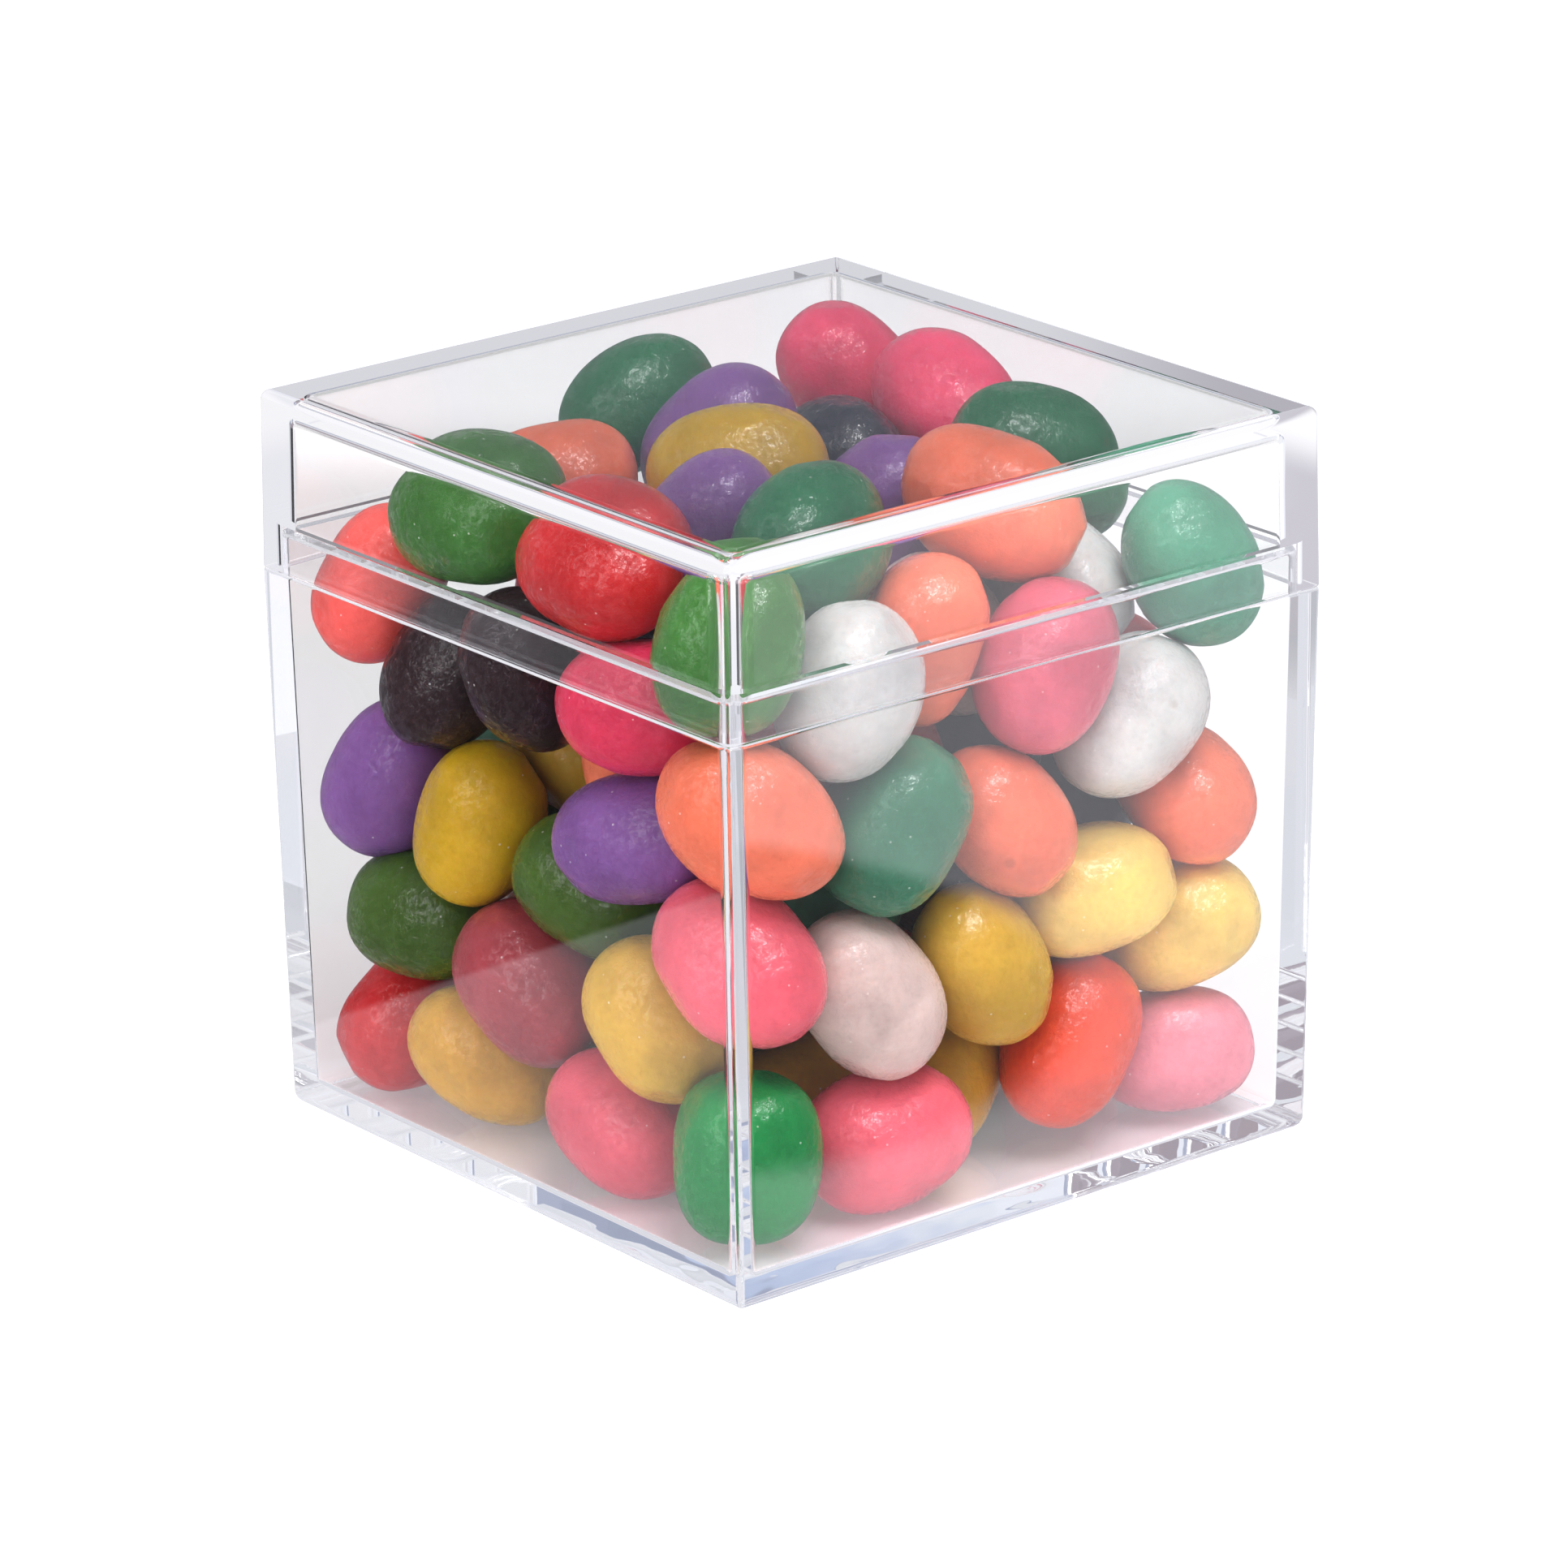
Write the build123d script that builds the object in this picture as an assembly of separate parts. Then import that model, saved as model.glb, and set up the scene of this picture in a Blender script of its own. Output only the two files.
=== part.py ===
from build123d import *
import math
import os

import numpy as np

# Clear two-piece candy box, a cube of about 3 inches, full of jelly beans.
# Millimetres, +Z up, origin under the middle of the base, walls square to X and Y.

# ---- base and lid: driving dimensions ------------------------------------------------
box_width = 75.5            # across the box at the joint line
base_height = 58.0          # underside to joint line
lid_height = 18.7           # joint line to top
wall = 2.75                 # side walls of the base, and of the lid above its rebate
floor_thickness = 2.5
lid_top_thickness = 2.5
base_draft = 0.86           # degrees, each side, narrower downwards
lid_draft = 0.70            # degrees, each side, narrower upwards
corner_radius = 0.6         # upright outer corners
base_inner_radius = 0.5     # upright inner corners of the base
lid_inner_radius = 1.9      # and of the lid
bottom_edge_radius = 1.4
top_edge_radius = 0.95
inner_edge_radius = 1.0     # floor to wall, and lid top to wall
# lap joint: a lip on the base stands inside a rebate in the lid
lip_height = 4.0
lip_thickness = 1.4
lip_side_clearance = 0.1    # each side
lip_head_clearance = 0.9    # above the lip
joint_edge_radius = 0.3     # the two outer edges that meet at the joint line
lip_edge_radius = 0.35

# ---- jelly beans: driving dimensions ---------------------------------------------------
bean_length = 18.0
bean_diameter = 13.5
bean_nose_radius = 5.6
bean_gap = 0.14             # between neighbours, and to the base
bean_lid_gap = 0.25         # to the lid, which moves
heap_share = 0.51           # beans in the closed box, as a share of its volume
heap_top_share = 0.74       # hidden beans start below this share of the way up

# ---- worked out ------------------------------------------------------------------------
box_height = base_height + lid_height
base_slope = math.tan(math.radians(base_draft))
lid_slope = math.tan(math.radians(lid_draft))
lip_top = base_height + lip_height
rebate_top = lip_top + lip_head_clearance
ceiling = box_height - lid_top_thickness
room_height = ceiling - floor_thickness
inner_width = box_width - 2 * wall


def base_width(z):
    """Outer width of the base, which widens upwards."""
    return box_width - 2 * (base_height - z) * base_slope


def lid_width(z):
    """Outer width of the lid, which narrows upwards."""
    return box_width - 2 * (z - base_height) * lid_slope


def drafted_block(bottom_z, bottom_width, top_z, top_width, corner, bottom_edge=0, top_edge=0):
    """Square block between two heights, with flat sides and its edges rounded.

    The larger radius goes first, since the smaller one can then run round it.
    """
    height = top_z - bottom_z
    draft = math.degrees(math.atan2((bottom_width - top_width) / 2, height))
    block = extrude(Plane.XY.offset(bottom_z) * Rectangle(bottom_width, bottom_width),
                    amount=height, taper=draft)
    for radius, place in sorted([(corner, "upright"), (bottom_edge, 0), (top_edge, -1)],
                                key=lambda rounding: -rounding[0]):
        if place == "upright":
            edges = [edge for edge in block.edges() if edge.bounding_box().size.Z > height / 2]
        else:
            edges = block.edges().group_by(Axis.Z)[place]
        if radius > 0:
            block = fillet(edges, radius)
    return block


def make_base():
    floor_width = base_width(floor_thickness) - 2 * wall
    mouth_width = base_width(lip_top) - 2 * wall
    lip_width = inner_width + 2 * lip_thickness
    outside = drafted_block(0, base_width(0), base_height, box_width, corner_radius,
                            bottom_edge_radius, joint_edge_radius)
    lip = drafted_block(floor_thickness, lip_width, lip_top, lip_width,
                        base_inner_radius + lip_thickness, top_edge=lip_edge_radius)
    lip = lip & Pos(0, 0, base_height) * Box(box_width, box_width, 2 * lip_height)
    hollow = drafted_block(floor_thickness, floor_width, lip_top, mouth_width,
                           base_inner_radius, bottom_edge=inner_edge_radius)
    return outside + lip - hollow


def make_lid():
    rebate_width = inner_width + 2 * (lip_thickness + lip_side_clearance)
    rebate_corner = base_inner_radius + lip_thickness + lip_side_clearance
    ceiling_width = lid_width(ceiling) - 2 * wall
    outside = drafted_block(base_height, box_width, box_height, lid_width(box_height),
                            corner_radius, joint_edge_radius, top_edge_radius)
    rebate = drafted_block(base_height, rebate_width, rebate_top, rebate_width, rebate_corner)
    hollow = drafted_block(base_height, inner_width, ceiling, ceiling_width,
                           lid_inner_radius, top_edge=inner_edge_radius)
    return outside - rebate - hollow


# ---- the jelly beans -------------------------------------------------------------------
# Beans that show, laid by hand: colour, size in percent, place across the box (X, Y, where
# 0 is the middle and 100 or -100 touches a wall), height (0 lies on the floor, 100 touches
# the lid), then the long axis's turn about Z and its tilt from level, in degrees.
PLACED_BEANS = [
    # against the -X wall, from the top down
    ("red", 93, -100, 100, 80, -45, 15),
    ("green", 100, -99, 46, 100, -24, 34),
    ("red", 102, -99, -26, 99, -50, -32),
    ("black", 94, -99, 66, 72, 75, 70),
    ("black", 97, -99, 19, 76, 95, 68),
    ("crimson", 98, -97, -48, 77, -45, -15),
    ("purple", 95, -100, 100, 46, -10, 52),
    ("yellow", 97, -99, 46, 45, 10, 65),
    ("purple", 100, -97, -46, 54, -46, -20),
    ("green", 98, -87, -5, 38, -65, -48),
    ("green", 97, -99, 82, 23, -20, 45),
    ("crimson", 102, -99, 22, 18, -69, -55),
    ("red", 93, -100, 100, 0, -45, 15),
    ("yellow", 97, -100, 53, 0, -40, -10),
    ("yellow", 98, -99, -52, 22, 60, 70),
    ("pink", 98, -98, -32, 1, 95, 62),
    # down the near corner
    ("green", 98, -99, -93, 92, 49, 78),
    ("coral", 100, -95, -98, 64, -40, -20),
    ("pink", 98, -100, -93, 39, 49, 75),
    ("green", 96, -100, -95, 3, 49, 75),
    # against the -Y wall, from the top down
    ("white", 102, -59, -99, 82, -26, 32),
    ("coral", 97, -10, -84, 84, 77, 66),
    ("crimson", 100, 41, -100, 73, -18, 46),
    ("mint", 98, 100, -100, 86, -57, -30),
    ("white", 100, 73, -99, 62, -21, 41),
    ("coral", 93, 100, -100, 54, 77, 68),
    ("green", 102, -38, -99, 56, -10, 54),
    ("coral", 92, 11, -99, 52, 77, 68),
    ("yellow", 99, 59, -99, 35, -18, 46),
    ("yellow", 95, 100, -100, 19, -21, 30),
    ("yellow", 98, 1, -98, 27, -46, -20),
    ("white", 102, -50, -98, 27, -42, -12),
    ("coral", 101, 43, -99, 8, 30, 66),
    ("pink", 94, 99, -100, 0, -28, 25),
    ("pink", 101, -42, -98, 0, -26, 30),
    # the top of the heap
    ("yellow", 102, -11, 17, 100, -38, 0),
    ("purple", 100, 12, 55, 100, -39, 0),
    ("green", 96, 11, 100, 99, -24, 34),
    ("pink", 95, 99, 81, 99, -57, -40),
    ("pink", 98, 100, 32, 99, -46, -15),
    ("black", 94, 58, 41, 94, -30, 10),
    ("purple", 94, 32, -11, 91, -39, 0),
    ("purple", 94, 88, 36, 77, 0, 0),
    ("green", 100, 93, -25, 96, -46, -20),
    ("coral", 100, 36, -68, 99, -57, -40),
    ("green", 97, -40, -63, 100, 49, 71),
    ("purple", 88, -45, -15, 98, -26, 30),
    ("coral", 94, -47, 72, 94, -39, 0),
    # glimpsed between those in front
    ("yellow", 98, -46, 38, 56, -39, 0),
    ("coral", 97, -50, 0, 57, 0, 30),
    ("red", 97, -53, -53, 66, 30, 0),
    ("black", 98, 36, -53, 56, -39, 10),
    ("black", 97, 71, -57, 46, 20, 0),
    ("black", 97, 17, -57, 38, 50, 20),
    ("green", 97, -38, -57, 34, 0, 10),
    ("red", 95, 0, -57, 65, 60, 0),
    ("yellow", 96, -7, -50, 71, -39, 0),
    ("yellow", 97, 78, -57, 13, -39, 0),
    ("yellow", 98, -42, -53, 3, -39, 0),
    ("yellow", 96, 11, -67, 1, -10, 49),
    ("white", 98, 82, -61, 89, -39, 0),
    ("white", 96, 36, -67, 81, -39, 0),
    ("crimson", 95, -62, 31, 87, -39, 0),
]
PLACED_IN_FRONT = 48        # the first of these keep their places, and push the others aside
HIDDEN_COLOURS = ["green", "yellow", "red", "purple", "white", "coral", "pink", "black", "mint",
                  "crimson", "yellow"]
HIDDEN_SIZES = [96, 100, 94, 98, 101]

# hidden beans start at the free places of a grid of this many steps across and up
STEPS_ACROSS = 17
STEPS_UP = 15
TURN_SHARE, TILT_SHARE = 0.7549, 0.5698   # spread the hidden beans' axes evenly
SPHERES = 7                 # a bean, for the settling, is a chain of this many spheres
SETTLE_STEPS = 2200
# pull of each bean to its own place, a share a step
FRONT_PULL_SHARE, OTHER_PULL_SHARE = 0.10, 0.01
FRONT_YIELD_SHARE = 0.15    # how readily a bean in front gives way, against 1 for the rest


def belly_radius(length, diameter, nose):
    """Radius of the long arc that runs into both nose arcs of an oval without a kink."""
    reach = length / 2 - nose
    return (reach ** 2 + (diameter / 2) ** 2 - nose ** 2) / (diameter - 2 * nose)


def bean_spheres(size):
    """Places along the axis, and radii, of the spheres inscribed in a bean."""
    radius = size * bean_diameter / 2
    belly = size * belly_radius(bean_length, bean_diameter, bean_nose_radius)
    places = np.linspace(-1, 1, SPHERES) * size * (bean_length / 2 - bean_nose_radius)
    return places, belly - np.sqrt(places ** 2 + (belly - radius) ** 2)


def axis_of(turn, tilt):
    turn, tilt = math.radians(turn), math.radians(tilt)
    return [math.cos(tilt) * math.cos(turn), math.cos(tilt) * math.sin(turn), math.sin(tilt)]


def free_half_width(z):
    """Half the clear width for beans at height z, inside the base or inside the lid."""
    in_base = base_width(z) / 2 - wall - bean_gap
    in_lid = lid_width(z) / 2 - wall - bean_lid_gap
    return np.where(z < base_height, in_base, in_lid)


def heap_start():
    """Colour, size, centre and axis of every bean before the heap settles."""
    bean_volume = math.pi / 6 * bean_length * bean_diameter ** 2
    count = round(heap_share * inner_width ** 2 * room_height / bean_volume)
    placed = PLACED_BEANS[:count]
    colours = [row[0] for row in placed]
    sizes = [row[1] / 100 for row in placed]
    places = [[x / 100, y / 100, height / 50 - 1] for _, _, x, y, height, _, _ in placed]
    axes = [axis_of(turn, tilt) for *_, turn, tilt in placed]
    # the rest go, one by one, to the free place that is furthest from every bean so far
    across = np.linspace(-1, 1, STEPS_ACROSS)
    upward = np.linspace(-1, 2 * heap_top_share - 1, STEPS_UP)
    grid = np.stack(np.meshgrid(across, across, upward, indexing="ij"), -1).reshape(-1, 3)
    for number in range(count - len(placed)):
        apart = np.linalg.norm(grid[:, None] - np.array(places)[None], axis=2).min(axis=1)
        places.append(list(grid[np.argmax(apart)]))
        colours.append(HIDDEN_COLOURS[number % len(HIDDEN_COLOURS)])
        sizes.append(HIDDEN_SIZES[number % len(HIDDEN_SIZES)] / 100)
        tilt = math.degrees(math.asin(1 - 2 * ((number + 0.5) * TILT_SHARE % 1)))
        axes.append(axis_of(360 * (number * TURN_SHARE % 1), tilt))
    reach = [(inner_width - bean_diameter) / 2] * 2 + [(room_height - bean_diameter) / 2]
    middle = [0, 0, floor_thickness + room_height / 2]
    return colours, np.array(sizes), np.array(places) * reach + middle, np.array(axes)


def settle(sizes, centres, axes):
    """Move and turn the beans until none reaches into another, a wall, floor or ceiling."""
    count = len(centres)
    number = np.arange(count)
    chains = [bean_spheres(size) for size in sizes]
    places = np.array([chain[0] for chain in chains])
    radii = np.array([chain[1] for chain in chains])
    front = number < PLACED_IN_FRONT
    hold = np.where(front, FRONT_PULL_SHARE, OTHER_PULL_SHARE)
    yielding = np.where(front, FRONT_YIELD_SHARE, 1.0)
    turning = 0.8 * (bean_diameter / 2) ** 2
    sinking = bean_diameter / 900
    starts = centres.copy()
    one, other = np.triu_indices(count, 1)
    for step in range(SETTLE_STEPS):
        pull = max(0.0, 1 - step / (0.6 * SETTLE_STEPS))
        spheres = centres[:, None] + places[:, :, None] * axes[:, None]
        move, turn, contacts = np.zeros((count, 3)), np.zeros((count, 3)), np.zeros(count)
        # the deepest contact of each pair of neighbours
        close = np.linalg.norm(centres[one] - centres[other], axis=1) < 1.1 * bean_length
        a, b = one[close], other[close]
        between = spheres[a][:, :, None] - spheres[b][:, None]
        distance = np.linalg.norm(between, axis=3)
        depth = radii[a][:, :, None] + radii[b][:, None] + bean_gap - distance
        deepest = depth.reshape(len(a), -1).argmax(axis=1)
        at_a, at_b, pair = deepest // SPHERES, deepest % SPHERES, np.arange(len(a))
        depth = depth[pair, at_a, at_b]
        away = between[pair, at_a, at_b] / distance[pair, at_a, at_b][:, None]
        touching = depth > 0
        a, b, at_a, at_b = a[touching], b[touching], at_a[touching], at_b[touching]
        depth, away = depth[touching], away[touching]
        share = yielding[a] / (yielding[a] + yielding[b])
        for bean, at, sign, part in ((a, at_a, 1, share), (b, at_b, -1, 1 - share)):
            push = sign * away * (depth * part)[:, None]
            np.add.at(move, bean, push)
            np.add.at(turn, bean, push * (places[bean, at] / turning)[:, None])
            np.add.at(contacts, bean, 1)
        # the deepest contact with each pair of walls, the floor and the ceiling
        clear = free_half_width(spheres[:, :, 2]) - radii
        for along in (0, 1):
            over = np.abs(spheres[:, :, along]) - clear
            at = over.argmax(axis=1)
            push = -np.sign(spheres[number, at, along]) * np.maximum(over[number, at], 0)
            move[:, along] += push
            turn[:, along] += push * places[number, at] / turning
        for limit, sign in ((floor_thickness + bean_gap, 1), (ceiling - bean_lid_gap, -1)):
            over = sign * (limit - spheres[:, :, 2]) + radii
            at = over.argmax(axis=1)
            push = sign * np.maximum(over[number, at], 0)
            move[:, 2] += push
            turn[:, 2] += push * places[number, at] / turning
        centres = centres + 1.2 * move / np.sqrt(np.maximum(contacts, 1))[:, None]
        centres += (starts - centres) * (hold * pull)[:, None]
        centres[:, 2] -= sinking * pull
        axes = axes + turn
        axes /= np.linalg.norm(axes, axis=1)[:, None]
    return centres, axes


def make_bean(size):
    """A bean along X: an oval of tangent arcs turned about its long axis."""
    half = size * bean_length / 2
    nose = size * bean_nose_radius
    radius = size * bean_diameter / 2
    belly = size * belly_radius(bean_length, bean_diameter, bean_nose_radius)
    reach = half - nose
    meet = math.atan2(belly - radius, reach)
    shoulder = (reach + nose * math.cos(meet), nose * math.sin(meet))
    bend = (reach + nose * math.cos(meet / 2), nose * math.sin(meet / 2))
    outline = [
        ThreePointArc((half, 0), bend, shoulder),
        ThreePointArc(shoulder, (0, radius), (-shoulder[0], shoulder[1])),
        ThreePointArc((-shoulder[0], shoulder[1]), (-bend[0], bend[1]), (-half, 0)),
        Line((-half, 0), (half, 0)),
    ]
    return revolve(make_face(outline), Axis.X, 360)


def place_bean(size, centre, axis):
    lie = Plane(origin=tuple(centre), x_dir=tuple(axis),
                z_dir=tuple(np.cross(axis, [axis[1], axis[2], axis[0]])))
    return lie.location * make_bean(size)


os.makedirs("parts", exist_ok=True)
export_step(make_base(), "parts/base.step")
export_step(make_lid(), "parts/lid.step")

colours, sizes, centres, axes = heap_start()
centres, axes = settle(sizes, centres, axes)
for colour in sorted(set(colours)):
    beans = [place_bean(sizes[k], centres[k], axes[k])
             for k in range(len(colours)) if colours[k] == colour]
    export_step(Compound(children=beans), f"parts/jelly_beans_{colour}.step")
print(len(colours), "jelly beans")
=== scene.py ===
"""Clear candy box full of jelly beans: looks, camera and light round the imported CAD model."""
import math

import bpy
import numpy as np
from mathutils import Matrix, Vector, noise

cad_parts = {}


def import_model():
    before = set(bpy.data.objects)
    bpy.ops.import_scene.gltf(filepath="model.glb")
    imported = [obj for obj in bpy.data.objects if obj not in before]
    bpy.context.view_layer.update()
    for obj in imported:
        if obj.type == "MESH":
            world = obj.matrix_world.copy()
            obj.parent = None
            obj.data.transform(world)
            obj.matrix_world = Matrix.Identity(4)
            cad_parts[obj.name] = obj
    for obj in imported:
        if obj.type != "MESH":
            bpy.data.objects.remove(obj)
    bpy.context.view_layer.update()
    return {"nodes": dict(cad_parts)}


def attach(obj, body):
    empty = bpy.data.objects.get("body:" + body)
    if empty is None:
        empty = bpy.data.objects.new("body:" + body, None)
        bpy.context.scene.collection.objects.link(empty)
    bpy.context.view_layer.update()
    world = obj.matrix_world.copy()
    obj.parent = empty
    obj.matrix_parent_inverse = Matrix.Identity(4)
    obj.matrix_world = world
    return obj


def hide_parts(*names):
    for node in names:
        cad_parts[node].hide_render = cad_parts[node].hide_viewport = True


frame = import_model()

MM = 0.001


# ---- small helpers -------------------------------------------------------------------
def new_material(name):
    material = bpy.data.materials.new(name)
    material.use_nodes = True
    material.node_tree.nodes.clear()
    return material


class Nodes:
    """Adds nodes to a tree and links them by value or by socket. Colours are given as RGB."""

    def __init__(self, tree):
        self.tree = tree

    def put(self, socket, value):
        if isinstance(value, bpy.types.NodeSocket):
            self.tree.links.new(value, socket)
        elif socket.type == "RGBA":
            socket.default_value = (*value, 1)
        else:
            socket.default_value = value

    def add(self, kind, settings=None, **inputs):
        node = self.tree.nodes.new(kind)
        for key, value in (settings or {}).items():
            setattr(node, key, value)
        for key, value in inputs.items():
            self.put(node.inputs[key.replace("_", " ")], value)
        return node

    def place(self, kind="Object"):
        return self.add("ShaderNodeTexCoord").outputs[kind]

    def xyz(self, vector):
        return self.add("ShaderNodeSeparateXYZ", Vector=vector).outputs

    def math(self, operation, *values):
        node = self.tree.nodes.new("ShaderNodeMath")
        node.operation = operation
        for socket, value in zip(node.inputs, values):
            self.put(socket, value)
        return node.outputs[0]

    def between(self, value, edge, at_low=0.0, at_high=1.0):
        """Runs smoothly from at_low to at_high as value goes over the edge, a pair of values."""
        node = self.tree.nodes.new("ShaderNodeMapRange")
        node.interpolation_type = "SMOOTHSTEP"
        for name, number in (("Value", value), ("From Min", edge[0]), ("From Max", edge[1]),
                             ("To Min", at_low), ("To Max", at_high)):
            self.put(node.inputs[name], number)
        return node.outputs["Result"]

    def both(self, *values):
        """The product of values, which is 1 only where all of them are."""
        result = values[0]
        for value in values[1:]:
            result = self.math("MULTIPLY", result, value)
        return result

    def pick(self, chosen, a, b):
        """a where chosen is 0 and b where it is 1."""
        return self.math("ADD", self.math("MULTIPLY", self.math("SUBTRACT", 1.0, chosen), a),
                         self.math("MULTIPLY", chosen, b))

    def along(self, place, way):
        """How far a place lies in a level direction."""
        return self.math("ADD", self.math("MULTIPLY", place["X"], way[0]),
                         self.math("MULTIPLY", place["Y"], way[1]))

    def ramp(self, value, stops):
        node = self.tree.nodes.new("ShaderNodeValToRGB")
        elements = node.color_ramp.elements
        while len(elements) < len(stops):
            elements.new(0.5)
        for element, (place, grey) in zip(elements, stops):
            element.position = place
            element.color = (grey, grey, grey, 1)
        self.put(node.inputs["Fac"], value)
        return node.outputs["Color"]

    def mix(self, factor, a, b, blend="MIX"):
        """Colour a where the factor is 0 and colour b where it is 1."""
        node = self.tree.nodes.new("ShaderNodeMix")
        node.data_type = "RGBA"
        node.blend_type = blend
        self.put(node.inputs[0], factor)
        sockets = [s for s in node.inputs if s.type == "RGBA"]
        for socket, value in zip(sockets, (a, b)):
            self.put(socket, value)
        return [s for s in node.outputs if s.type == "RGBA"][0]

    def mix_shaders(self, factor, a, b):
        """Shader a where the factor is 0 and shader b where it is 1."""
        node = self.tree.nodes.new("ShaderNodeMixShader")
        for socket, value in zip(node.inputs, (factor, a, b)):
            self.put(socket, value)
        return node.outputs["Shader"]


# ---- camera --------------------------------------------------------------------------
CAMERA_PLACE = Vector((-479.7, -596.6, 304.6)) * MM
CAMERA_FORWARD = Vector((0.5906, 0.7359, -0.3311))
CAMERA_UP = Vector((0.2189, 0.2489, 0.9435))
CAMERA_LENS = 184.3         # in millimetres, as the width of the sensor
CAMERA_SENSOR = 36.0

camera_data = bpy.data.cameras.new("camera")
camera_data.lens = CAMERA_LENS
camera_data.sensor_width = CAMERA_SENSOR
camera_data.clip_start = 0.01
camera_data.clip_end = 50.0
camera = bpy.data.objects.new("camera", camera_data)
bpy.context.scene.collection.objects.link(camera)
back = -CAMERA_FORWARD.normalized()
right = CAMERA_UP.cross(back).normalized()
up = back.cross(right)
camera.matrix_world = Matrix.Translation(CAMERA_PLACE) @ Matrix((right, up, back)).transposed().to_4x4()
bpy.context.scene.camera = camera


# ---- shapes of the jelly beans -------------------------------------------------------
BEAN_AROUND = 48            # points round a bean
BEAN_ALONG = 36             # steps along it
SAME_POINT = 2e-6           # corners of the CAD mesh closer than this are one
SIDE_ROOM = 0.03 * MM       # a bean may pass its CAD solid's box by this much
END_BLUNTNESS = (2.15, 2.6)  # powers in the outline along a bean
SIDE_BLUNTNESS = (2.0, 2.25)
FAT_END = (-0.035, 0.035)   # share by which one end is thicker
SQUARENESS = (2.0, 2.35)    # power in the outline round a bean, round at 2
FLATTENING = (0.94, 0.99)   # share of its width that a bean has in the plane of its bend
BEND = (0.1, 0.5)           # in millimetres
BEND_CENTRE = 0.35          # keeps the bent bean in the middle of its solid
FLATS = 7                   # soft flat places on a bean
FLAT_FROM = (0.935, 0.985)  # share of the bean's height, where a flat begins
FLAT_SHARE = 0.8            # of what stands over a flat is taken off
LUMP_SPACING = 7.5 * MM
SMALL_LUMPS = 2.7           # along the length of one lump
LUMP_HEIGHT = 0.26          # in millimetres, as the next two
SMALL_LUMP_HEIGHT = 0.05
LUMP_LEVEL = 0.03           # taken off all round


def islands(mesh):
    """The triangles of each closed solid in a mesh, as an array of corner points."""
    co = np.zeros(len(mesh.vertices) * 3)
    mesh.vertices.foreach_get("co", co)
    co = co.reshape(-1, 3)
    mesh.calc_loop_triangles()
    tris = np.zeros(len(mesh.loop_triangles) * 3, int)
    mesh.loop_triangles.foreach_get("vertices", tris)
    tris = tris.reshape(-1, 3)
    _, first, same = np.unique(np.round(co / SAME_POINT), axis=0, return_index=True,
                               return_inverse=True)
    co, tris = co[first], same.reshape(-1)[tris]
    label = np.arange(len(co))
    while True:
        low = label[tris].min(axis=1)
        before = label.copy()
        for corner in range(3):
            np.minimum.at(label, tris[:, corner], low)
        label = label[label]
        if (label == before).all():
            break
    owner = label[tris[:, 0]]
    return [co[tris[owner == k]] for k in np.unique(owner)]


def bean_frame(triangles):
    """Centre, long axis, length and thickness of a bean solid."""
    area = np.linalg.norm(np.cross(triangles[:, 1] - triangles[:, 0],
                                   triangles[:, 2] - triangles[:, 0]), axis=1)
    middle = triangles.mean(axis=1)
    centre = (middle * area[:, None]).sum(0) / area.sum()
    spread = ((middle - centre) * area[:, None]).T @ (middle - centre)
    axis = np.linalg.eigh(spread)[1][:, -1]
    points = triangles.reshape(-1, 3) - centre
    along = points @ axis
    out = np.linalg.norm(points - along[:, None] * axis, axis=1)
    return centre, axis, along.max() - along.min(), 2 * out.max()


def bean_points(length, width, rng):
    """Points of a bean along X: a blunt oval with a bend, a fat end, flats and soft lumps."""
    half, radius = length / 2, width / 2
    swing = np.linspace(0, math.pi, BEAN_ALONG + 1)
    x = -half * np.cos(swing)
    share = (1 - np.abs(x / half) ** rng.uniform(*END_BLUNTNESS)).clip(0)
    r = radius * share ** (1 / rng.uniform(*SIDE_BLUNTNESS))
    r = r * (1 + rng.uniform(*FAT_END) * x / half)
    turn = np.linspace(0, 2 * math.pi, BEAN_AROUND, endpoint=False)
    square = rng.uniform(*SQUARENESS)
    ring = (np.abs(np.cos(turn)) ** square + np.abs(np.sin(turn)) ** square) ** (-1 / square)
    flat = rng.uniform(*FLATTENING)
    bend = rng.uniform(*BEND) * MM
    y = r[:, None] * np.cos(turn) * ring * flat
    y = y + (bend * (BEND_CENTRE - (x / half) ** 2))[:, None]
    z = r[:, None] * np.sin(turn) * ring
    points = np.stack([np.broadcast_to(x[:, None], y.shape), y, z], -1)
    for _ in range(FLATS):
        way = rng.normal(size=3)
        way /= np.linalg.norm(way)
        height = points @ way
        over = (height - height.max() * rng.uniform(*FLAT_FROM)).clip(0)
        points = points - FLAT_SHARE * over[..., None] * way
    lump = np.zeros(y.shape)
    offset = Vector(rng.uniform(-50, 50, 3))
    for i in range(y.shape[0]):
        for j in range(y.shape[1]):
            place = Vector(points[i, j]) / LUMP_SPACING + offset
            lump[i, j] = (noise.noise(place) * LUMP_HEIGHT
                          + noise.noise(place * SMALL_LUMPS) * SMALL_LUMP_HEIGHT)
    norm = np.linalg.norm(points, axis=-1, keepdims=True)
    return points * (1 + (lump[..., None] - LUMP_LEVEL) * MM / np.maximum(norm, 1e-9))


def bean_faces(start):
    """Faces of a bean whose two ends are the points start and start + 1, before its rings."""
    rings = BEAN_ALONG - 1

    def at(ring, step):
        return start + 2 + ring * BEAN_AROUND + step % BEAN_AROUND

    faces = []
    for j in range(BEAN_AROUND):
        faces.append((start, at(0, j + 1), at(0, j)))
        faces.append((start + 1, at(rings - 1, j), at(rings - 1, j + 1)))
        for i in range(rings - 1):
            faces.append((at(i, j), at(i, j + 1), at(i + 1, j + 1), at(i + 1, j)))
    return faces


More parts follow.
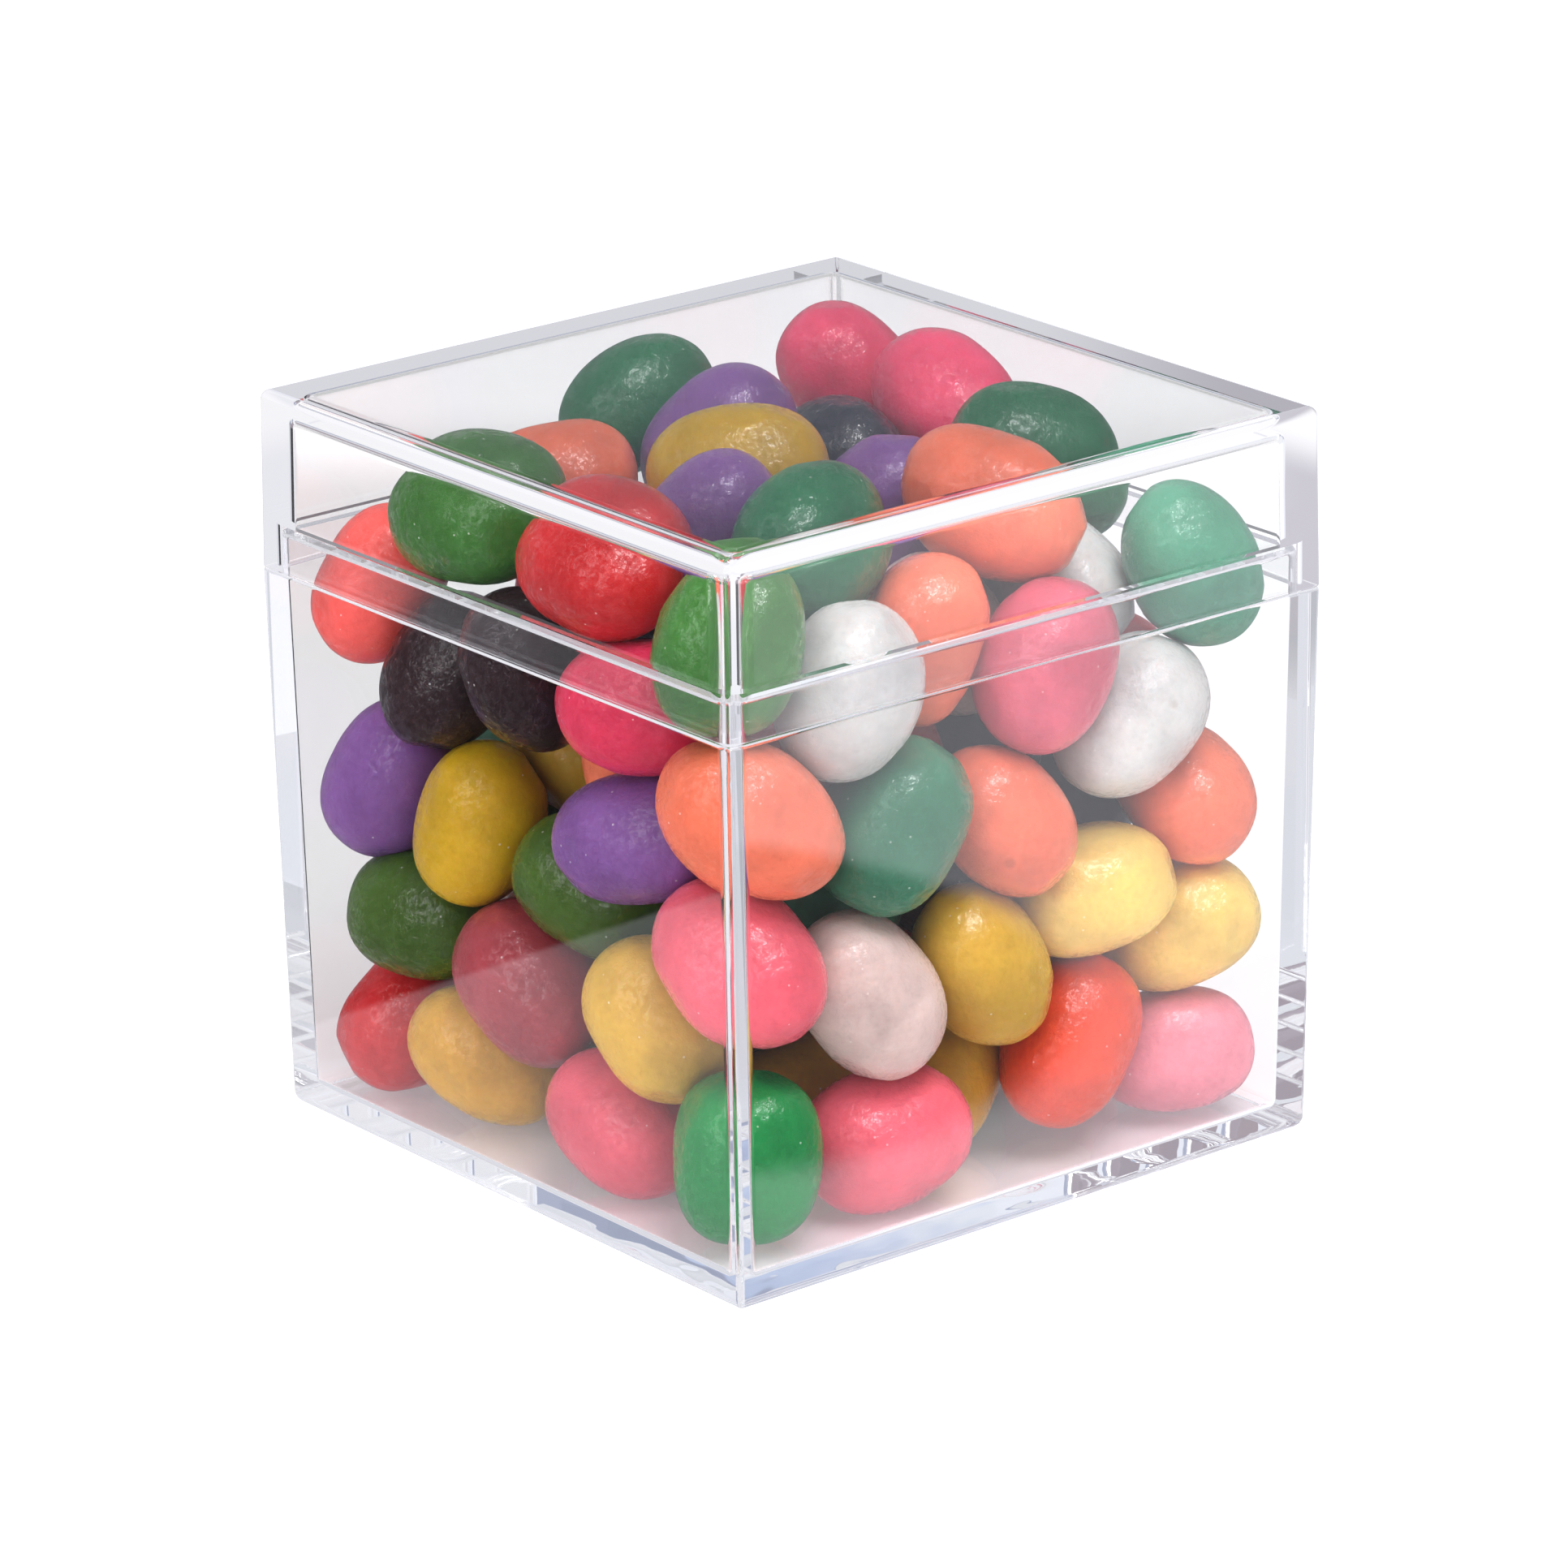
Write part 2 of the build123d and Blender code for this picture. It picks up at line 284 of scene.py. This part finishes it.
# ---- looks of the jelly beans --------------------------------------------------------
SHADES = {
    "red": (0.56, 0.013, 0.016),
    "light red": (0.86, 0.115, 0.100),
    "raspberry": (0.67, 0.032, 0.092),
    "rose": (0.76, 0.135, 0.20),
    "wine": (0.36, 0.050, 0.065),
    "coral": (0.90, 0.20, 0.105),
    "orange": (0.90, 0.065, 0.005),
    "mustard": (0.57, 0.34, 0.008),
    "amber": (0.72, 0.38, 0.035),
    "honey": (0.67, 0.40, 0.050),
    "lemon": (0.97, 0.65, 0.16),
    "grass": (0.040, 0.155, 0.022),
    "moss": (0.052, 0.195, 0.032),
    "bottle": (0.055, 0.115, 0.012),
    "sea": (0.045, 0.215, 0.120),
    "pine": (0.016, 0.155, 0.064),
    "emerald": (0.005, 0.25, 0.055),
    "mint": (0.072, 0.31, 0.185),
    "violet": (0.225, 0.092, 0.32),
    "night": (0.030, 0.030, 0.050),
    "black": (0.024, 0.009, 0.012),
    "white": (0.68, 0.66, 0.64),
    "shell": (0.77, 0.58, 0.54),
    "pink": (0.90, 0.135, 0.19),
    "dusk pink": (0.80, 0.115, 0.165),
    "baby pink": (0.88, 0.28, 0.35),
    "candy": (0.94, 0.080, 0.185),
}
# the shade of each of the CAD's colours
USUAL_SHADE = {"red": "red", "crimson": "raspberry", "coral": "coral", "yellow": "honey",
               "green": "sea", "mint": "mint", "purple": "violet", "black": "night",
               "white": "white", "pink": "pink"}
# beans of another shade than their fellows, by a point in millimetres near the bean's middle. These are
# partly the beans' own differences and partly painted light: most beans on the left side take warmer
# shades, which stand in for the warmer light on that side
SPECIAL_SHADES = (
    ("light red", (-28, 28, 57)), ("grass", (-28, 13, 67)), ("black", (-28, 18, 50)),
    ("black", (-28, 5, 53)), ("mustard", (-28, 13, 35)), ("bottle", (-25, -2, 32)),
    ("bottle", (-28, 23, 23)), ("wine", (-27, 5, 20)), ("amber", (-27, 14, 10)),
    ("moss", (-28, -26, 63)), ("emerald", (-28, -27, 11)), ("rose", (9, -28, 54)),
    ("lemon", (15, -27, 29)), ("lemon", (27, -27, 22)), ("shell", (-14, -27, 25)),
    ("orange", (12, -27, 14)), ("mustard", (-4, 3, 67)), ("candy", (28, 23, 66)),
    ("candy", (28, 8, 67)), ("amber", (-13, -14, 9)), ("amber", (2, -19, 10)),
    ("amber", (19, -15, 16)), ("shell", (7, -14, 54)), ("dusk pink", (-28, -9, 10)),
    ("baby pink", (26, -27, 9)), ("pine", (3, 28, 67)), ("pine", (26, -7, 65)),
    ("pine", (-12, -18, 67)),
)
NEAR = 4 * MM
TINT_RANGE = (0.94, 1.04)   # each bean is a little darker or paler than its shade
SPECK_COLOUR = (0.9, 0.9, 0.88)
# the dark of the small pits is painted shade
PIT_SHADE_COLOUR = (0.10, 0.04, 0.02)
FIRST_SEED = 11


def shade_of(colour, centre):
    for shade, point in SPECIAL_SHADES:
        if np.linalg.norm(centre - np.array(point) * MM) < NEAR:
            return SHADES[shade]
    return SHADES[USUAL_SHADE[colour]]


def bean_mesh(name, colour, triangles_of_beans, first_seed):
    """One mesh with every bean of a colour, smooth shaded, with a tint for each bean."""
    verts, faces, tints = [], [], []
    for k, triangles in enumerate(triangles_of_beans):
        centre, axis, length, width = bean_frame(triangles)
        rng = np.random.default_rng(first_seed + k)
        side = np.cross(axis, rng.normal(size=3))
        side /= np.linalg.norm(side)
        lie = np.stack([axis, side, np.cross(axis, side)], 1)
        grid = bean_points(length, width, rng) @ lie.T + centre
        corners = triangles.reshape(-1, 3)
        grid = grid.clip(corners.min(0) - SIDE_ROOM, corners.max(0) + SIDE_ROOM)
        start = len(verts)
        verts.extend([grid[0].mean(0), grid[-1].mean(0)])
        verts.extend(grid[1:-1].reshape(-1, 3))
        faces.extend(bean_faces(start))
        tint = np.array(shade_of(colour, centre)) * rng.uniform(*TINT_RANGE)
        tints.extend([(*tint.clip(0, 1), 1.0)] * (len(verts) - start))
    mesh = bpy.data.meshes.new(name)
    mesh.from_pydata([tuple(v) for v in verts], [], faces)
    mesh.polygons.foreach_set("use_smooth", [True] * len(mesh.polygons))
    attribute = mesh.attributes.new("bean_tint", "FLOAT_COLOR", "POINT")
    attribute.data.foreach_set("color", np.array(tints).ravel())
    mesh.update()
    return mesh


def bean_material(name):
    """Dyed sugar with clouds, grain, pale specks and small pits darkened with painted shade, under a
    coat of wax.
    """
    material = new_material(name)
    n = Nodes(material.node_tree)
    place = n.place()
    own = n.add("ShaderNodeAttribute", {"attribute_name": "bean_tint"}).outputs["Color"]
    cloud = n.add("ShaderNodeTexNoise", Vector=place, Scale=130.0, Detail=3.0,
                  Roughness=0.55).outputs["Fac"]
    wax = n.add("ShaderNodeTexNoise", Vector=place, Scale=480.0, Detail=4.0,
                Roughness=0.65).outputs["Fac"]
    grain = n.add("ShaderNodeTexNoise", Vector=place, Scale=1500.0, Detail=2.0,
                  Roughness=0.6).outputs["Fac"]
    # clouds in the dye, and its fine grain
    skin = n.mix(n.ramp(cloud, [(0.36, 0.75), (0.66, 1.0)]), (0, 0, 0), own)
    skin = n.mix(1.0, skin, n.ramp(grain, [(0.30, 0.86), (0.62, 1.0)]), "MULTIPLY")
    # rare pale specks of sugar
    dots = n.add("ShaderNodeTexVoronoi", Vector=place, Scale=1100.0)
    lot = n.add("ShaderNodeSeparateColor", Color=dots.outputs["Color"]).outputs["Red"]
    speck = n.both(n.math("LESS_THAN", dots.outputs["Distance"], 0.13),
                   n.math("GREATER_THAN", lot, 0.93))
    skin = n.mix(n.math("MULTIPLY", speck, 0.30), skin, SPECK_COLOUR)
    # a few small pits, dented by the bump below and darkened inside with painted shade
    pits = n.add("ShaderNodeTexVoronoi", Vector=place, Scale=95.0)
    lot = n.add("ShaderNodeSeparateColor", Color=pits.outputs["Color"]).outputs["Green"]
    pit = n.both(n.between(pits.outputs["Distance"], (0.035, 0.075), 0.75, 0.0),
                 n.math("GREATER_THAN", lot, 0.45))
    skin = n.mix(pit, skin, n.mix(0.45, own, PIT_SHADE_COLOUR))
    # the skin is uneven, and the wax on it has a finer grain, which breaks up the highlights
    height = n.math("ADD", n.math("MULTIPLY", wax, 1.3), n.math("MULTIPLY", cloud, 2.0))
    height = n.math("SUBTRACT", height, n.math("MULTIPLY", pit, 0.3))
    bump = n.add("ShaderNodeBump", Strength=0.30, Distance=0.0005, Height=height)
    coat_bump = n.add("ShaderNodeBump", Strength=0.30, Distance=0.0005,
                      Height=n.math("MULTIPLY", grain, 1.2), Normal=bump.outputs["Normal"])
    shader = n.add(
        "ShaderNodeBsdfPrincipled",
        Base_Color=skin,
        Roughness=n.ramp(wax, [(0.34, 0.30), (0.66, 0.46)]),
        IOR=1.45,
        Specular_IOR_Level=0.24,
        Subsurface_Weight=0.70,
        Subsurface_Radius=(1.0, 0.55, 0.45),
        Subsurface_Scale=0.0038,
        Normal=bump.outputs["Normal"],
        Coat_Weight=n.ramp(grain, [(0.45, 0.10), (0.56, 1.0)]),
        Coat_Roughness=0.14,
        Coat_IOR=1.5,
        Coat_Normal=coat_bump.outputs["Normal"],
    )
    n.add("ShaderNodeOutputMaterial", Surface=shader.outputs["BSDF"])
    return material


seed = FIRST_SEED
for node in sorted(frame["nodes"]):
    if not node.startswith("jelly_beans_"):
        continue
    colour = node.split("_")[-1]
    solids = islands(frame["nodes"][node].data)
    mesh = bean_mesh("beans_" + colour, colour, solids, seed)
    seed += len(solids)
    mesh.materials.append(bean_material("skin_" + colour))
    piece = bpy.data.objects.new(mesh.name, mesh)
    bpy.context.scene.collection.objects.link(piece)
    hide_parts(node)
    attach(piece, "box")


# ---- the clear box -------------------------------------------------------------------
TURNS_IN_BASE = 20          # turns after which a path caught in a wall ends in a painted glow, which stands in for the light trapped there
TURNS_IN_LID = 1
PAINTED_GLOW_AT_TOP = (1.00, 1.00, 1.03)   # the colours of that painted glow, by the place on the box
PAINTED_GLOW_ON_LEFT = (0.88, 0.88, 0.94)
PAINTED_GLOW_ON_RIGHT = (0.58, 0.56, 0.62)
TOP_EDGE = (0.066, 0.071)   # heights between which the top's glow colour takes over
RIGHT_EDGE = (0.02, 0.06)   # and X less Y between which the right side's does
FOOT_EDGE = (0.0, 0.0045)   # heights over which the waves in the box's foot fade out
WAVES_EDGE = (-0.02, 0.01)  # X less Y over which they grow to the right, up to their full height
WAVES_ON_LEFT = 0.25
PLASTIC_TINT = (0.998, 0.995, 1.0)
SHADOW_TINT = (0.93, 0.935, 0.945)    # what a wall lets through of the light on matte surfaces


def clear_plastic(name, turns):
    """Clear polished plastic, which lets light on its way to matte surfaces pass unbent, and glows with
    painted light where a path has turned too often inside it.
    """
    material = new_material(name)
    n = Nodes(material.node_tree)
    place = n.place()
    split = n.xyz(place)
    to_right = n.math("SUBTRACT", split["X"], split["Y"])
    waves = n.add("ShaderNodeTexNoise", Vector=place, Scale=140.0, Detail=0.5)
    foot = n.both(n.between(split["Z"], FOOT_EDGE, 1.0, 0.0),
                  n.between(to_right, WAVES_EDGE, WAVES_ON_LEFT, 1.0))
    bump = n.add("ShaderNodeBump", Strength=0.6, Distance=0.00008,
                 Height=n.math("MULTIPLY", waves.outputs["Fac"], foot))
    glassy = n.add("ShaderNodeBsdfPrincipled", Base_Color=PLASTIC_TINT, Roughness=0.0, IOR=1.57,
                   Transmission_Weight=1.0, Normal=bump.outputs["Normal"])
    clear = n.add("ShaderNodeBsdfTransparent", Color=SHADOW_TINT)
    path = n.add("ShaderNodeLightPath").outputs
    straight = n.math("MAXIMUM", path["Is Shadow Ray"], path["Is Diffuse Ray"])
    plastic = n.mix_shaders(straight, glassy.outputs["BSDF"], clear.outputs["BSDF"])
    # painted light: the plastic glows where a path has turned more than the given number of times,
    # palest at the top and darkest on the right
    at_sides = n.mix(n.between(to_right, RIGHT_EDGE), PAINTED_GLOW_ON_LEFT, PAINTED_GLOW_ON_RIGHT)
    painted_glow = n.add("ShaderNodeEmission",
                    Color=n.mix(n.between(split["Z"], TOP_EDGE), at_sides, PAINTED_GLOW_AT_TOP))
    deep = n.math("GREATER_THAN", path["Glossy Depth"], turns)
    shown = n.mix_shaders(deep, plastic, painted_glow.outputs["Emission"])
    n.add("ShaderNodeOutputMaterial", Surface=shown)
    return material


for node, turns in (("base", TURNS_IN_BASE), ("lid", TURNS_IN_LID)):
    data = frame["nodes"][node].data
    data.materials.clear()
    data.materials.append(clear_plastic("clear_" + node, turns))


# ---- directions, and the ways in which the camera sees the floor and the room --------
TO_BACK = (0.625, 0.78)     # the level way in which the camera looks
TO_RIGHT = (0.78, -0.625)
TO_LEFT = (-0.625, 0.78)    # the way back, as mirrored in the box's left side


def straight_view(n):
    """1 for what the camera sees, by itself or straight through clear plastic, else 0."""
    path = n.add("ShaderNodeLightPath").outputs
    turns = n.math("ADD", path["Glossy Depth"], path["Diffuse Depth"])
    return n.math("LESS_THAN", turns, 0.5)


def first_mirror(n):
    """1 in a mirror image made by one reflection in the nearest wall, else 0."""
    path = n.add("ShaderNodeLightPath").outputs
    return n.both(n.math("LESS_THAN", path["Glossy Depth"], 1.5),
                  n.math("LESS_THAN", path["Transmission Depth"], 2.5))


def bean_gloss(n):
    """1 in what the beans' own gloss shows through the box, else 0."""
    path = n.add("ShaderNodeLightPath").outputs
    return n.both(n.math("LESS_THAN", path["Glossy Depth"], 1.5),
                  n.math("GREATER_THAN", path["Transmission Depth"], 3.5))


# ---- floor ---------------------------------------------------------------------------
FLOOR_REACH = 3.0
FLOOR_LEVEL = -0.2 * MM     # so that the box doesn't share a face with the floor
# in mirror images: how pale the ground is, by its place
WHITE_EDGE = (-0.06, 0.0)   # X between which the left side's ground turns to the others'
WHITE_ON_LEFT = 0.50        # the pale ground mirrored in the left side
WHITE_ON_RIGHT = 1.20       # and in the other sides
GREY_SPOT = (0.004, -0.106)  # a grey patch of ground, mirrored low in the right side
SPOT_EDGE = (0.045, 0.051)  # its radius, with a soft edge
SPOT_SHARE = 0.12           # of the paleness round it
GREY_FROM = -0.034          # from this Y on, right of SHEET_LEFT, the ground is greyer
GREY_NEAR = 0.77            # under the box and behind it
GREY_FAR = 0.98             # and far to the right, which the left corner mirrors
FAR_RIGHT_FROM = 0.050      # far to the right in X
FAR_RIGHT_EDGE = (0.0, 0.02)  # and in X less Y
SHEET_LEFT = -0.038         # left of this and behind SHEET_END the ground is dark
SHEET_END = (0.052, 0.054)
DARK = 0.03
FLOOR_IN_GLOSS = 0.35       # the ground as the beans' gloss shows it
MIRROR_TINT = (0.93, 0.95, 1.03)
# where the camera sees the ground: the light added to it, so that it shows white. Through the box this
# glow also paints shade: it is low under and close behind the box, as the box's painted shadow, and
# lower on the left than on the right
GROUND_GLOW = 0.78
GLOW_UNDER = 0.10           # through clear plastic, under the box
GLOW_ON_LEFT = 0.33         # close behind it
GLOW_ON_RIGHT = 0.55
GLOW_BEHIND = 0.92          # and further behind it
UNDER_EDGE = (0.0, 0.05)    # towards the back, from the glow under the box to the glow close by
BEHIND_EDGE = (0.215, 0.255)  # and from there to the glow further behind it
BESIDE_EDGE = (-0.05, 0.04)  # towards the right, from the left's glow to the right's
THROUGH_TINT = (0.975, 0.965, 1.0)
# the ground's own shading, which keeps the shadow
MATTE = 0.9                 # for other surfaces
GROUND_SHADE = 0.46         # for the camera, since the glow comes on top
PAINTED_BOUNCE_UNDER = (0.90, 0.80, 0.81)      # painted light: a pink tint of the ground under the box, which stands in for light bounced off the beans


def ground_in_mirrors(n, place):
    """How pale the ground is in the mirror images in the box's sides."""
    pale = n.between(place["X"], WHITE_EDGE, WHITE_ON_LEFT, WHITE_ON_RIGHT)
    across = n.math("POWER", n.math("SUBTRACT", place["X"], GREY_SPOT[0]), 2.0)
    along = n.math("POWER", n.math("SUBTRACT", place["Y"], GREY_SPOT[1]), 2.0)
    from_spot = n.math("SQRT", n.math("ADD", across, along))
    pale = n.math("MULTIPLY", pale, n.between(from_spot, SPOT_EDGE, SPOT_SHARE, 1.0))
    in_shade = n.both(n.math("GREATER_THAN", place["X"], SHEET_LEFT),
                      n.math("GREATER_THAN", place["Y"], GREY_FROM))
    far_right = n.both(n.math("GREATER_THAN", place["X"], FAR_RIGHT_FROM),
                       n.between(n.math("SUBTRACT", place["X"], place["Y"]), FAR_RIGHT_EDGE))
    pale = n.pick(in_shade, pale, n.pick(far_right, GREY_NEAR, GREY_FAR))
    past_sheet = n.both(n.math("LESS_THAN", place["X"], SHEET_LEFT),
                        n.between(place["Y"], SHEET_END), first_mirror(n))
    return n.pick(bean_gloss(n), n.pick(past_sheet, pale, DARK), FLOOR_IN_GLOSS)


def floor_material():
    """A matte ground that glows for the camera and shows plain parts in mirror images; through the box
    its glow is lower near the box, a painted shadow.
    """
    material = new_material("floor")
    n = Nodes(material.node_tree)
    path = n.add("ShaderNodeLightPath").outputs
    direct = straight_view(n)
    through = path["Is Transmission Ray"]
    mirrored = n.both(path["Is Glossy Ray"], n.math("SUBTRACT", 1.0, direct))
    place = n.xyz(n.place())
    beyond = n.between(n.along(place, TO_BACK), UNDER_EDGE)
    beside = n.between(n.along(place, TO_RIGHT), BESIDE_EDGE, GLOW_ON_LEFT, GLOW_ON_RIGHT)
    # painted shadow: through the box the ground's glow is low under and close to the box, lower on its
    # left, and full further behind it
    glow_with_painted_shadow = n.between(n.along(place, TO_BACK), BEHIND_EDGE,
                             n.pick(beyond, GLOW_UNDER, beside), GLOW_BEHIND)
    seen = n.pick(through, GROUND_GLOW, glow_with_painted_shadow)
    tint = n.mix(mirrored, n.mix(through, (1, 1, 1), THROUGH_TINT), MIRROR_TINT)
    strength = n.math("ADD", n.both(direct, seen), n.both(mirrored, ground_in_mirrors(n, place)))
    glow = n.add("ShaderNodeEmission", Color=tint, Strength=strength).outputs["Emission"]
    under = n.both(through, n.math("SUBTRACT", 1.0, beyond))
    # under the box the ground takes a painted tint of light bounced off the beans
    shade = n.mix(under, (GROUND_SHADE,) * 3, PAINTED_BOUNCE_UNDER)
    matte = n.add("ShaderNodeBsdfDiffuse", Color=n.mix(direct, (MATTE,) * 3, shade))
    lit = n.add("ShaderNodeAddShader")
    n.put(lit.inputs[0], matte.outputs["BSDF"])
    n.put(lit.inputs[1], glow)
    shown = n.mix_shaders(mirrored, lit.outputs["Shader"], glow)
    n.add("ShaderNodeOutputMaterial", Surface=shown)
    return material


def floor():
    mesh = bpy.data.meshes.new("floor")
    reach = FLOOR_REACH
    mesh.from_pydata([(-reach, -reach, 0), (reach, -reach, 0), (reach, reach, 0),
                      (-reach, reach, 0)], [], [(0, 1, 2, 3)])
    mesh.materials.append(floor_material())
    obj = bpy.data.objects.new("floor", mesh)
    obj.location.z = FLOOR_LEVEL
    bpy.context.scene.collection.objects.link(obj)


# ---- world ---------------------------------------------------------------------------
SKY_LIGHT = 0.74            # for matte surfaces
SKY_IN_FRONT = (0.88, 0.89, 0.94)   # the room above the floor, in mirror images
SKY_BEHIND = (0.36, 0.40, 0.54)
SKY_BEHIND_RIGHT = (0.50, 0.58, 0.79)
SKY_FAR_RIGHT = (0.82, 0.85, 0.93)
SKY_ON_LEFT = (0.36, 0.31, 0.36)
SKY_GAP = (0.035, 0.045, 0.06)      # low behind the box, which the lid's top mirrors
SKY_IN_GLOSS = (0.20, 0.20, 0.22)   # the same room, as the beans' gloss shows it
# the shares of a direction between which one part of the room turns to the next
IN_FRONT_EDGE = (0.70, 0.88)        # towards the back
LEFT_EDGE = (0.55, 0.75)            # towards the left
BEHIND_RIGHT_EDGE = (-0.0085, -0.0045)   # towards the right
FAR_EDGE = (-0.0045, 0.033)
GAP_EDGE = (0.80, 0.90)             # the gap, towards the back
GAP_BOTTOM = (0.225, 0.255)         # and upwards
GAP_TOP = (0.312, 0.340)


def world():
    """White for the camera, one grey for matte surfaces, and a room of plain parts for gloss."""
    sky = bpy.data.worlds.new("world")
    bpy.context.scene.world = sky
    sky.use_nodes = True
    sky.node_tree.nodes.clear()
    n = Nodes(sky.node_tree)
    way = n.xyz(n.place("Generated"))
    to_back = n.along(way, TO_BACK)
    to_right = n.along(way, TO_RIGHT)
    behind = n.mix(n.between(to_right, FAR_EDGE), SKY_BEHIND_RIGHT, SKY_FAR_RIGHT)
    behind = n.mix(n.between(to_right, BEHIND_RIGHT_EDGE), SKY_BEHIND, behind)
    room = n.mix(n.between(to_back, IN_FRONT_EDGE), SKY_IN_FRONT, behind)
    room = n.mix(n.between(n.along(way, TO_LEFT), LEFT_EDGE), room, SKY_ON_LEFT)
    gap = n.both(n.between(to_back, GAP_EDGE), n.between(way["Z"], GAP_BOTTOM),
                 n.between(way["Z"], GAP_TOP, 1.0, 0.0), first_mirror(n))
    room = n.mix(gap, room, SKY_GAP)
    room = n.mix(bean_gloss(n), room, SKY_IN_GLOSS)
    glossy = n.add("ShaderNodeLightPath").outputs["Is Glossy Ray"]
    shown = n.mix(glossy, (SKY_LIGHT,) * 3, room)
    shown = n.mix(straight_view(n), shown, (1, 1, 1))
    background = n.add("ShaderNodeBackground", Color=shown)
    n.add("ShaderNodeOutputWorld", Surface=background.outputs["Background"])


# ---- lamps ---------------------------------------------------------------------------
LAMPS_AIM_AT = Vector((0, 0, 0.04))


def lamp(name, place, size, power, in_gloss=True):
    """A round lamp that shines at the middle of the box."""
    data = bpy.data.lights.new(name, "AREA")
    data.shape = "DISK"
    data.size = size
    data.energy = power
    obj = bpy.data.objects.new(name, data)
    obj.location = place
    obj.visible_glossy = in_gloss
    obj.rotation_euler = (LAMPS_AIM_AT - Vector(place)).to_track_quat("-Z", "Y").to_euler()
    bpy.context.scene.collection.objects.link(obj)


floor()
world()
lamp("key", (-0.11, -0.48, 1.0), 0.50, 9.4)
lamp("fill", (-0.9, -0.2, 0.6), 1.2, 8.0, in_gloss=False)

scene = bpy.context.scene
scene.view_settings.view_transform = "Standard"
# light turns many times inside the clear walls
scene.cycles.max_bounces = 40
scene.cycles.glossy_bounces = 32
scene.cycles.transmission_bounces = 32
scene.cycles.transparent_max_bounces = 32
